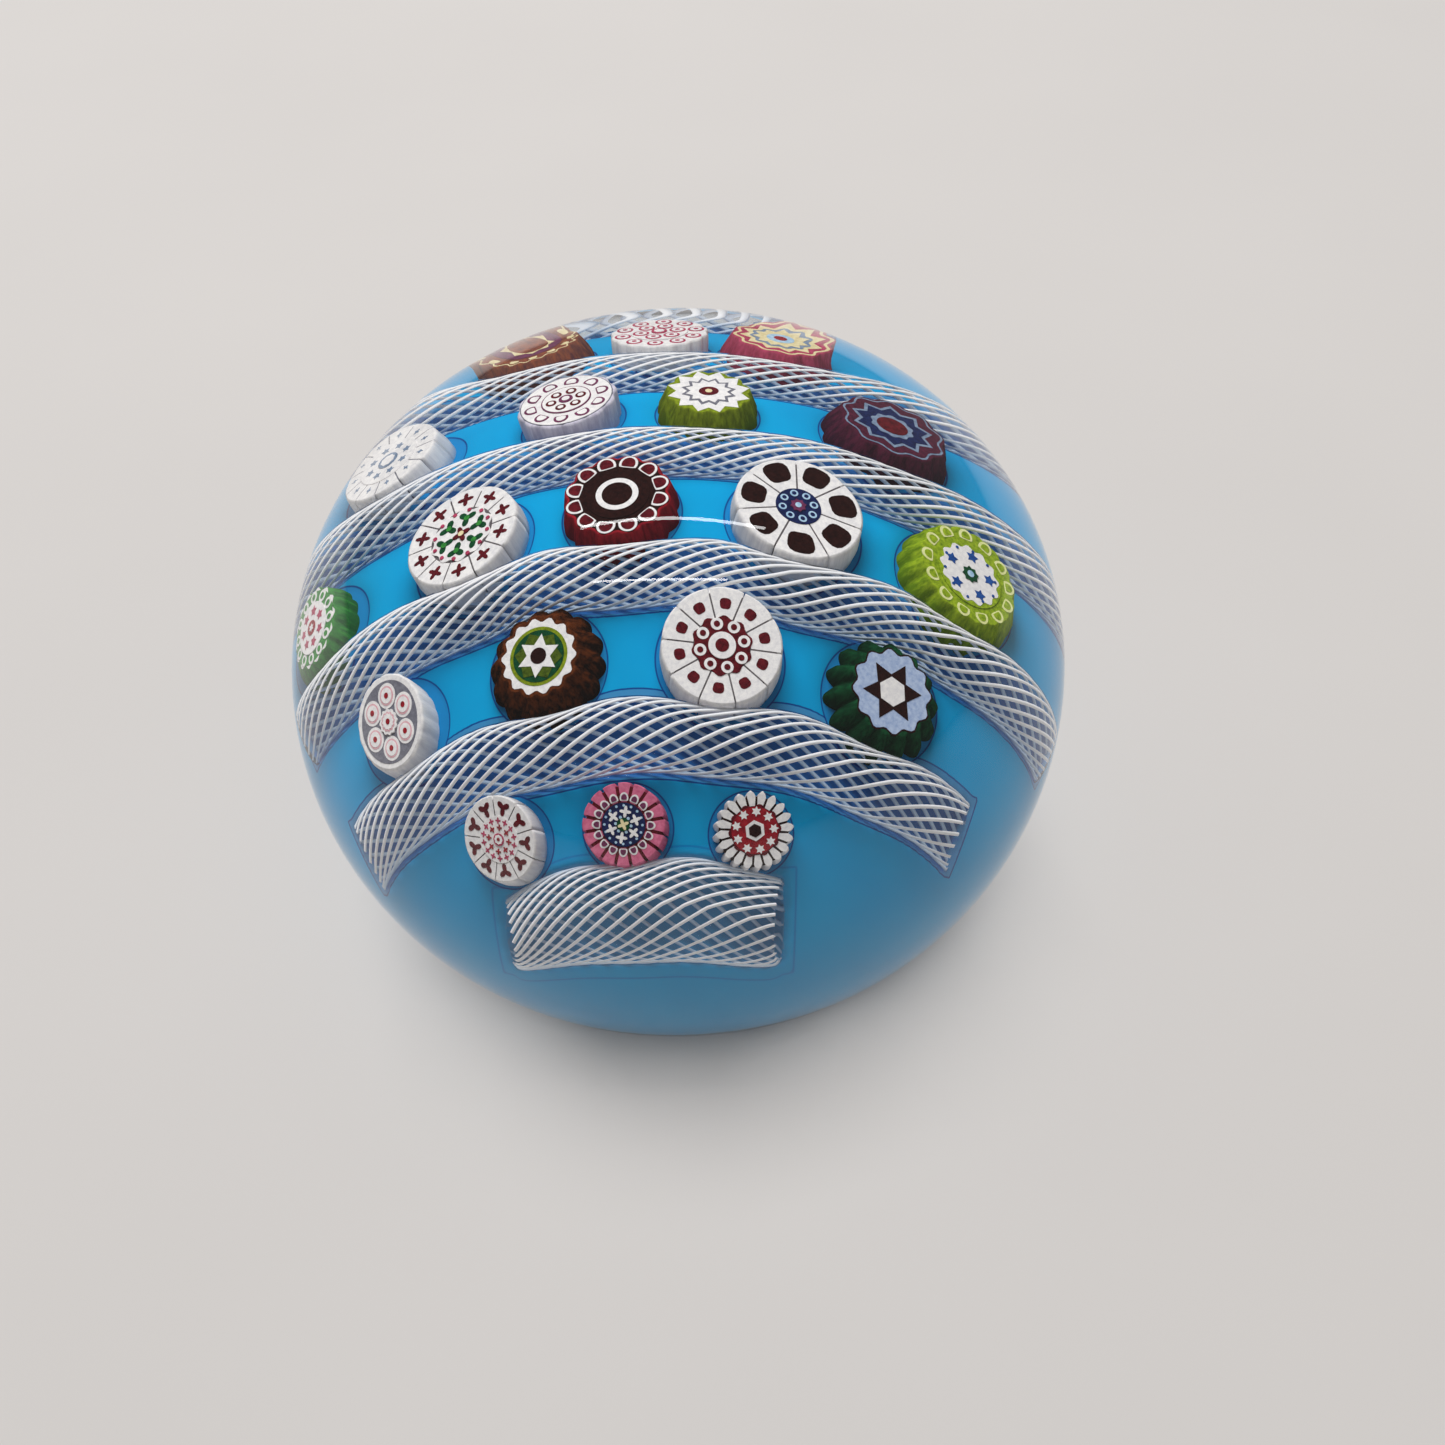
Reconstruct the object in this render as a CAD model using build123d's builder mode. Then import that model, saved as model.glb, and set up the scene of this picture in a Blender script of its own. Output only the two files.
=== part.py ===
# Glass paperweight. A clear dome is gathered over a domed blue ground cushion. Rows of
# millefiori cane slices and twisted filigree rods are laid over the cushion, and a clear
# base plate with a ground foot ring closes it below.
# Frame: origin at the middle of the foot, +Z up through the crown, rods along X. Millimetres.
import os
from math import asin, atan2, cos, degrees, hypot, pi, radians, sin, sqrt

from build123d import *

os.makedirs("parts", exist_ok=True)

# clear glass
dome_radius = 40.0  # widest circle
foot_radius = 33.4
equator_height = 20.0  # from the foot up to the widest circle
crown_height = 34.0  # from the widest circle up to the crown
crown_angle = 20.0  # how far the flatter crown arc turns before the shoulder arc
seam_height = 3.0  # top of the base plate, where the dome begins
foot_ring_width = 5.0
foot_bevel = 0.5
hollow_depth = 1.2  # polished hollow inside the foot ring

# blue ground cushion
rim_glass = 3.0  # clear glass around the cushion at the seam
cushion_height = 33.5  # from the foot up to the cushion's crown
cushion_shoulder = 6.0  # from the foot up to where its side stands upright
cushion_angle = 45.0  # how far its crown arc turns before its shoulder arc

# rows across the cushion
row_angle = 23.0  # from one row of canes to the next, seen from the cushion's middle

# filigree rods
thread_layer = 0.5  # depth of the white threads under the rod's skin
rod_lift = 0.8  # from the ground up to the rod's middle
rod_end_inset = 1.6  # from the cushion's edge in to a rod's ends
rod_bend_share = 0.62  # share of a rod's half length that lies on its wide middle arc

# number from the front: (row, radius, slide along X off the middle)
rods = {
    1: (-2.6, 4.0, -1.7),
    2: (-1.5, 3.0, -0.7),
    3: (-0.5, 2.7, 0.6),
    4: (0.48, 2.4, 0.0),
    5: (1.45, 2.2, 0.0),
    6: (2.7, 2.2, 0.0),
}

# cane slices
cane_proud = 2.6  # from the ground up to a slice's face
cane_sink = 1.6  # from the ground down to its underside
star_waist = 0.72  # inner radius of a star heart over its outer radius

# name: (row, angle along the row, radius, heart radius, heart points or 0 for round)
canes = {
    "amber": (1.93, -29.5, 4.4, 2.9, 0),
    "floret": (1.93, -5.0, 3.9, 2.6, 0),
    "rose": (1.95, 17.5, 4.5, 3.0, 10),
    "pearl": (0.92, -43.5, 4.3, 2.9, 0),
    "violet": (0.98, -16.5, 4.2, 3.0, 0),
    "olive": (1, 4.6, 4.1, 3.1, 12),
    "plum": (1, 32.0, 4.8, 3.3, 10),
    "green": (-0.05, -55.0, 4.2, 2.9, 0),
    "clover": (-0.05, -28.9, 4.8, 3.0, 0),
    "ruby": (0, -7.0, 4.8, 3.2, 0),
    "petal": (0, 17.7, 5.4, 2.3, 0),
    "lime": (0, 42.5, 5.1, 3.0, 0),
    "rosette": (-1.02, -44.2, 4.1, 2.8, 0),
    "chestnut": (-1, -18.1, 4.7, 3.3, 12),
    "window": (-1, 8.5, 5.0, 2.7, 0),
    "forest": (-1, 34.5, 4.9, 3.1, 6),
    "trefoil": (-2, -33.2, 3.6, 1.9, 0),
    "pink": (-2.08, -7.3, 3.5, 2.2, 0),
    "snow": (-2.07, 18.8, 3.3, 2.1, 10),
}


def two_arcs(radius, height, angle):
    # radii of a crown arc and a shoulder arc that meet smoothly after the crown arc has turned by
    # the angle, rise to the height and stand upright at the radius
    s, c = sin(radians(angle)), cos(radians(angle))
    crown = (radius * c - height * (1 - s)) / (s + c - 1)
    shoulder = (height * s - radius * (1 - c)) / (s + c - 1)
    return crown, shoulder


# the clear outline: a belly arc below the widest circle, a shoulder arc and a crown arc above it
top_height = equator_height + crown_height
crown_arc, shoulder_arc = two_arcs(dome_radius, crown_height, crown_angle)
belly_arc = ((dome_radius - foot_radius) ** 2 + equator_height**2) / (2 * (dome_radius - foot_radius))


def belly_radius(height):
    # radius of the clear glass at a height below its widest circle
    return dome_radius - belly_arc + sqrt(belly_arc**2 - (equator_height - height) ** 2)


# the cushion's outline: an upright side, a shoulder arc and a crown arc
cushion_radius = belly_radius(seam_height) - rim_glass
cushion_rise = cushion_height - cushion_shoulder
cushion_crown, cushion_side = two_arcs(cushion_radius, cushion_rise, cushion_angle)
rod_end_radius = cushion_radius - rod_end_inset


def arc_centre(radius):
    # middle and radius of the cushion's arc that stands over a radius, as (radius, height), arc
    if radius < cushion_crown * sin(radians(cushion_angle)):
        return (0, cushion_height - cushion_crown), cushion_crown
    return (cushion_radius - cushion_side, cushion_shoulder), cushion_side


def ground_height(radius, lift=0.0):
    # height of the cushion's surface, or of one raised by the lift, at a radius
    (middle, height), arc = arc_centre(radius)
    return height + sqrt((arc + lift) ** 2 - (radius - middle) ** 2)


def cane_plane(row, along):
    # plane on the ground under a slice, square to the surface there
    tilt = radians(row * row_angle)
    x = cushion_radius * sin(radians(along)) * cos(tilt)
    y = cushion_radius * sin(tilt)
    radius = hypot(x, y)
    (middle, height), arc = arc_centre(radius)
    outward = (radius - middle) / arc / radius
    normal = (outward * x, outward * y, (ground_height(radius) - height) / arc)
    return Plane(origin=(x, y, ground_height(radius)), x_dir=(normal[2], 0, -normal[0]), z_dir=normal)


def rod_path(y, slide):
    # three tangent arcs over the cushion: a wide one over the middle and a tighter one at each end,
    # as (wide radius, wide middle, wide half turn, tight radius, tight middle, left and right turn)
    half = sqrt(rod_end_radius**2 - y**2)
    x1, x2 = rod_bend_share * half, half
    z0, z1, z2 = (ground_height(hypot(x, y), rod_lift) for x in (0, x1, x2))
    wide = (x1**2 + (z0 - z1) ** 2) / (2 * (z0 - z1))
    turn = atan2(x1, wide - (z0 - z1))
    inward = (-sin(turn), -cos(turn))
    reach = (x2 - x1) * inward[0] + (z2 - z1) * inward[1]
    tight = ((x2 - x1) ** 2 + (z2 - z1) ** 2) / (2 * reach)
    middle = (x1 + tight * inward[0], z1 + tight * inward[1])
    tails = [degrees(asin((half + way * slide - middle[0]) / tight) - turn) for way in (-1, 1)]
    return wide, (0, z0 - wide), degrees(turn), tight, middle, tails


# base plate: the foot ring, the polished hollow and the flat that the cushion stands on
with BuildPart() as base_plate:
    with BuildSketch(Plane.XZ):
        with BuildLine():
            middle_height = seam_height / 2
            outer = ThreePointArc(
                (foot_radius, 0),
                (belly_radius(middle_height), middle_height),
                (belly_radius(seam_height), seam_height),
            )
            Polyline(outer @ 1, (0, seam_height), (0, 0), outer @ 0)
        make_face()
    revolve(axis=Axis.Z)
    chamfer(base_plate.faces().sort_by(Axis.Z)[0].edges(), foot_bevel)
    hollow_radius = foot_radius - foot_bevel - foot_ring_width
    bowl_radius = (hollow_radius**2 + hollow_depth**2) / (2 * hollow_depth)
    with Locations((0, 0, hollow_depth - bowl_radius)):
        Sphere(bowl_radius, mode=Mode.SUBTRACT)
base_plate.part.label = "base_plate"

# cane slices: a casing around a round or star-shaped heart
slices = {}
spaces = {}
for name, (row, along, radius, heart_radius, points) in canes.items():
    seat = cane_plane(row, along).offset(-cane_sink)
    with BuildPart() as space:
        with BuildSketch(seat):
            Circle(radius)
        extrude(amount=cane_sink + cane_proud)
    with BuildPart() as heart:
        with BuildSketch(seat):
            if points:
                tips = [(heart_radius * (star_waist if i % 2 else 1), i * pi / points) for i in range(2 * points)]
                Polygon(*[(r * cos(a), r * sin(a)) for r, a in tips], align=None)
            else:
                Circle(heart_radius)
        extrude(amount=cane_sink + cane_proud)
    with BuildPart() as casing:
        add(space.part)
        add(heart.part, mode=Mode.SUBTRACT)
    casing.part.label = name + "_cane_casing"
    heart.part.label = name + "_cane_heart"
    slices[name] = (casing.part, heart.part)
    spaces[name] = space.part

# filigree rods: a clear core inside the layer that holds the spiral threads
rod_pieces = []
rod_spaces = []
for number, (row, rod_radius, slide) in rods.items():
    y = (cushion_radius + rod_lift) * sin(radians(row * row_angle))
    wide, wide_middle, turn, tight, tight_middle, (left, right) = rod_path(y, slide)
    with BuildLine(Plane.XZ.offset(-y)) as path:
        CenterArc((-tight_middle[0], tight_middle[1]), tight, 90 + turn, left)
        CenterArc(wide_middle, wide, 90 - turn, 2 * turn)
        CenterArc(tight_middle, tight, 90 - turn - right, right)
    steep = radians(turn + left)
    start = Plane(origin=path.line.vertices().sort_by(Axis.X)[0], z_dir=(cos(steep), 0, sin(steep)))
    with BuildPart() as rod_space:
        with BuildSketch(start):
            Circle(rod_radius)
        sweep(path=path.line)
    with BuildPart() as core_space:
        with BuildSketch(start):
            Circle(rod_radius - thread_layer)
        sweep(path=path.line)
    beside = [spaces[name] for name, cane in canes.items() if abs(cane[0] - row) < 1]
    with BuildPart() as core:
        add(core_space.part)
        add(beside, mode=Mode.SUBTRACT)
    with BuildPart() as threads:
        add(rod_space.part)
        add(core_space.part, mode=Mode.SUBTRACT)
        add(beside, mode=Mode.SUBTRACT)
    core.part.label = f"filigree_rod_{number}_core"
    threads.part.label = f"filigree_rod_{number}_threads"
    rod_pieces += [core.part, threads.part]
    rod_spaces.append(rod_space.part)

# ground cushion, with a seat for each slice and a bed for each rod
with BuildPart() as cushion_space:
    with BuildSketch(Plane.XZ):
        with BuildLine():
            CenterArc((0, cushion_height - cushion_crown), cushion_crown, 90 - cushion_angle, cushion_angle)
            CenterArc((cushion_radius - cushion_side, cushion_shoulder), cushion_side, 0, 90 - cushion_angle)
            Polyline(
                (cushion_radius, cushion_shoulder),
                (cushion_radius, seam_height),
                (0, seam_height),
                (0, cushion_height),
            )
        make_face()
    revolve(axis=Axis.Z)
with BuildPart() as ground_cushion:
    add(cushion_space.part)
    add(rod_spaces, mode=Mode.SUBTRACT)
    add(list(spaces.values()), mode=Mode.SUBTRACT)
ground_cushion.part.label = "ground_cushion"

# clear dome over everything that lies on the cushion
with BuildPart() as clear_dome:
    with BuildSketch(Plane.XZ):
        with BuildLine():
            drop = degrees(asin((equator_height - seam_height) / belly_arc))
            CenterArc((0, top_height - crown_arc), crown_arc, 90 - crown_angle, crown_angle)
            CenterArc((dome_radius - shoulder_arc, equator_height), shoulder_arc, 0, 90 - crown_angle)
            CenterArc((dome_radius - belly_arc, equator_height), belly_arc, -drop, drop)
            Polyline((belly_radius(seam_height), seam_height), (0, seam_height), (0, top_height))
        make_face()
    revolve(axis=Axis.Z)
    add(cushion_space.part, mode=Mode.SUBTRACT)
    add(rod_spaces, mode=Mode.SUBTRACT)
    add(list(spaces.values()), mode=Mode.SUBTRACT)
clear_dome.part.label = "clear_dome"

finished = [base_plate.part, ground_cushion.part, clear_dome.part, *rod_pieces]
finished += [piece for pair in slices.values() for piece in pair]
for piece in finished:
    export_step(piece, f"parts/{piece.label}.step")
print(f"{len(finished)} pieces, {2 * dome_radius:.0f} mm across, {top_height:.0f} mm tall")
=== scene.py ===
import bpy
import numpy as np
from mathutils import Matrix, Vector


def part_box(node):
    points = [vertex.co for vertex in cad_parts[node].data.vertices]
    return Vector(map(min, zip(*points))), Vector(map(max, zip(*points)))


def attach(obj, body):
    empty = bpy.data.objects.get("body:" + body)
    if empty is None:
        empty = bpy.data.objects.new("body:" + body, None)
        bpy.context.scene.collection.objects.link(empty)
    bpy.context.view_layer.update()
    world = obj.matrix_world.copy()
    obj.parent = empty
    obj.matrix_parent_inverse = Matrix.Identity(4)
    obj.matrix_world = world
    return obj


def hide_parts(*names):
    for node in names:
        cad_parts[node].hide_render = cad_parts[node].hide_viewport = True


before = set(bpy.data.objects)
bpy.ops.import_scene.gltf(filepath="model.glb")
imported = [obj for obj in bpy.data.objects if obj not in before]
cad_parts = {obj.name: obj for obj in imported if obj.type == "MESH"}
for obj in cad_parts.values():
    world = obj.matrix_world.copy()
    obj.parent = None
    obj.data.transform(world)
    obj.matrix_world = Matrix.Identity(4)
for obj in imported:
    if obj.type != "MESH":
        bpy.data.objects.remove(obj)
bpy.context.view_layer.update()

mm = 0.001
scene = bpy.context.scene
print("frame loaded")


# small helpers

def linear(hexColour):
    # sRGB to linear light: ((c + 0.055) / 1.055) ** 2.4 for each channel, c / 12.92 when very dark
    channels = np.array([int(hexColour[i:i + 2], 16) for i in (1, 3, 5)]) / 255
    light = np.where(channels <= 0.04045, channels / 12.92, ((channels + 0.055) / 1.055) ** 2.4)
    return (*light.tolist(), 1.0)


def addNode(tree, kind, inputs=None, **settings):
    # adds a node with its settings; an input is a value, or another node's output to link
    node = tree.nodes.new(kind)
    for key, value in settings.items():
        setattr(node, key, value)
    for key, value in (inputs or {}).items():
        if isinstance(value, bpy.types.NodeSocket):
            tree.links.new(value, node.inputs[key])
        else:
            node.inputs[key].default_value = value
    return node


def newMaterial(name):
    material = bpy.data.materials.new(name)
    material.use_nodes = True
    material.node_tree.nodes.clear()
    return material, material.node_tree


def shell(rings, start, end, finish=0, smooth=True, flatEnds=False):
    # closed surface: rows of points that run round, and one point that closes each end.
    # Faces are turned so that the enclosed volume, the sum of a . (b x c) / 6, is positive
    rows, columns = rings.shape[:2]
    points = np.concatenate([[start], rings.reshape(-1, 3), [end]])
    here = np.arange(columns)
    after = np.roll(here, -1)
    row = 1 + columns * np.arange(rows - 1)[:, None]
    above = row + columns
    quads = np.stack([row + here, row + after, above + after, above + here], -1).reshape(-1, 4)
    last = 1 + columns * (rows - 1)
    fans = np.concatenate([
        np.stack([0 * here, 1 + after, 1 + here], -1),
        np.stack([last + here, last + after, 0 * here + len(points) - 1], -1),
    ])
    middle = points.mean(0)
    corners = [points[f] - middle for f in (quads[:, :3], quads[:, [0, 2, 3]], fans)]
    volume = sum((c[:, 0] * np.cross(c[:, 1], c[:, 2])).sum() for c in corners)
    if volume < 0:
        quads, fans = quads[:, ::-1], fans[:, ::-1]
    return {"points": points, "quads": quads, "fans": fans, "finish": finish, "smooth": smooth,
            "flatEnds": flatEnds}


def makePiece(name, shells, materials, nodes, attributes=None):
    # one mesh object from closed shells, in metres, riding on the fixed body
    points = np.concatenate([s["points"] for s in shells])
    faces, finishes, smooth, offset = [], [], [], 0
    for s in shells:
        faces += (s["quads"] + offset).tolist() + (s["fans"] + offset).tolist()
        finishes += [s["finish"]] * (len(s["quads"]) + len(s["fans"]))
        smooth += [s["smooth"]] * len(s["quads"]) + [s["smooth"] and not s["flatEnds"]] * len(s["fans"])
        offset += len(s["points"])
    mesh = bpy.data.meshes.new(name)
    mesh.from_pydata(points * mm, [], faces)
    mesh.polygons.foreach_set("material_index", finishes)
    mesh.polygons.foreach_set("use_smooth", smooth)
    for material in materials:
        mesh.materials.append(material)
    for key, values in (attributes or {}).items():
        kind, entry = ("FLOAT_VECTOR", "vector") if values.ndim == 2 else ("FLOAT", "value")
        layer = mesh.attributes.new(key, kind, "POINT")
        layer.data.foreach_set(entry, values.astype(np.float32).ravel())
    mesh.update()
    piece = bpy.data.objects.new(name, mesh)
    scene.collection.objects.link(piece)
    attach(piece, "root")
    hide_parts(*nodes)
    return piece


def unit(vectors):
    return vectors / np.linalg.norm(vectors, axis=-1, keepdims=True)


# the forms that everything follows

glassForm = {
    "equatorHeight": 20.0,  # widest circle above the foot
    "footRadius": 33.4,
    "crownAngle": 20.0,  # turn of the flat crown arc before the shoulder arc
    "footRing": 5.0,
    "footBevel": 0.5,
    "hollowDepth": 1.2,
    "ringStart": 0.05,  # first row of the flat ring, past the hollow's edge
    "around": 320,
    "rows": {"hollow": 24, "ring": 6, "side": 44, "shoulder": 72, "crown": 40},
}
cushionForm = {
    "radius": 32.38,
    "height": 33.5,
    "shoulder": 6.0,  # height where the side stands upright
    "base": 3.0,
    "crownAngle": 45.0,
    "around": 400,
    "rows": 225,
}
domeLow, domeHigh = (np.array(corner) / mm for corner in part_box("clear_dome"))
domeRadius = (domeHigh[0] - domeLow[0]) / 2
domeTop = domeHigh[2]


def twoArcs(radius, height, angle):
    # a crown arc and a shoulder arc that meet smoothly after the crown arc has turned by the angle
    s, c = np.sin(np.radians(angle)), np.cos(np.radians(angle))
    crown = (radius * c - height * (1 - s)) / (s + c - 1)
    shoulder = (height * s - radius * (1 - c)) / (s + c - 1)
    return crown, shoulder


def arcPoints(radius, middle, fromTurn, toTurn, count):
    # points on a circle, their turn counted from straight up: (r sin t, r cos t) about the middle
    turn = np.radians(np.linspace(fromTurn, toTurn, count))
    return np.stack([middle[0] + radius * np.sin(turn), middle[1] + radius * np.cos(turn)], -1)


def spun(profile, around):
    # the profile's (radius, height) turned round Z
    turn = 2 * np.pi * np.arange(around) / around
    radius, height = profile[:, 0, None], profile[:, 1, None]
    return np.stack([radius * np.cos(turn), radius * np.sin(turn), height + 0 * turn], -1)


cushionCrown, cushionSide = twoArcs(
    cushionForm["radius"], cushionForm["height"] - cushionForm["shoulder"], cushionForm["crownAngle"])
crownMiddle = (0.0, cushionForm["height"] - cushionCrown)
sideMiddle = (cushionForm["radius"] - cushionSide, cushionForm["shoulder"])


def groundHeight(radius, lift=0.0):
    # height of the cushion's surface raised by the lift, on whichever arc stands over the radius
    joint = (cushionCrown + lift) * np.sin(np.radians(cushionForm["crownAngle"]))
    crown = crownMiddle[1] + np.sqrt(np.maximum((cushionCrown + lift) ** 2 - radius**2, 0))
    inSide = np.clip((cushionSide + lift) ** 2 - (radius - sideMiddle[0]) ** 2, 0, None)
    return np.where(radius < joint, crown, sideMiddle[1] + np.sqrt(inSide))


def groundNormal(points):
    # outward direction of the cushion's surface under or over the points, away from its arc's middle
    radius = np.hypot(points[..., 0], points[..., 1])
    onCrown = np.arctan2(radius, points[..., 2] - crownMiddle[1]) < np.radians(cushionForm["crownAngle"])
    middleRadius = np.where(onCrown, 0.0, sideMiddle[0])
    middleHeight = np.where(onCrown, crownMiddle[1], sideMiddle[1])
    flat = points[..., :2] / np.maximum(radius, 1e-9)[..., None]
    outward = flat * (radius - middleRadius)[..., None]
    upward = (points[..., 2] - middleHeight)[..., None]
    return unit(np.concatenate([outward, upward], -1))


# canes: where each slice stands and how it is patterned

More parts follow.
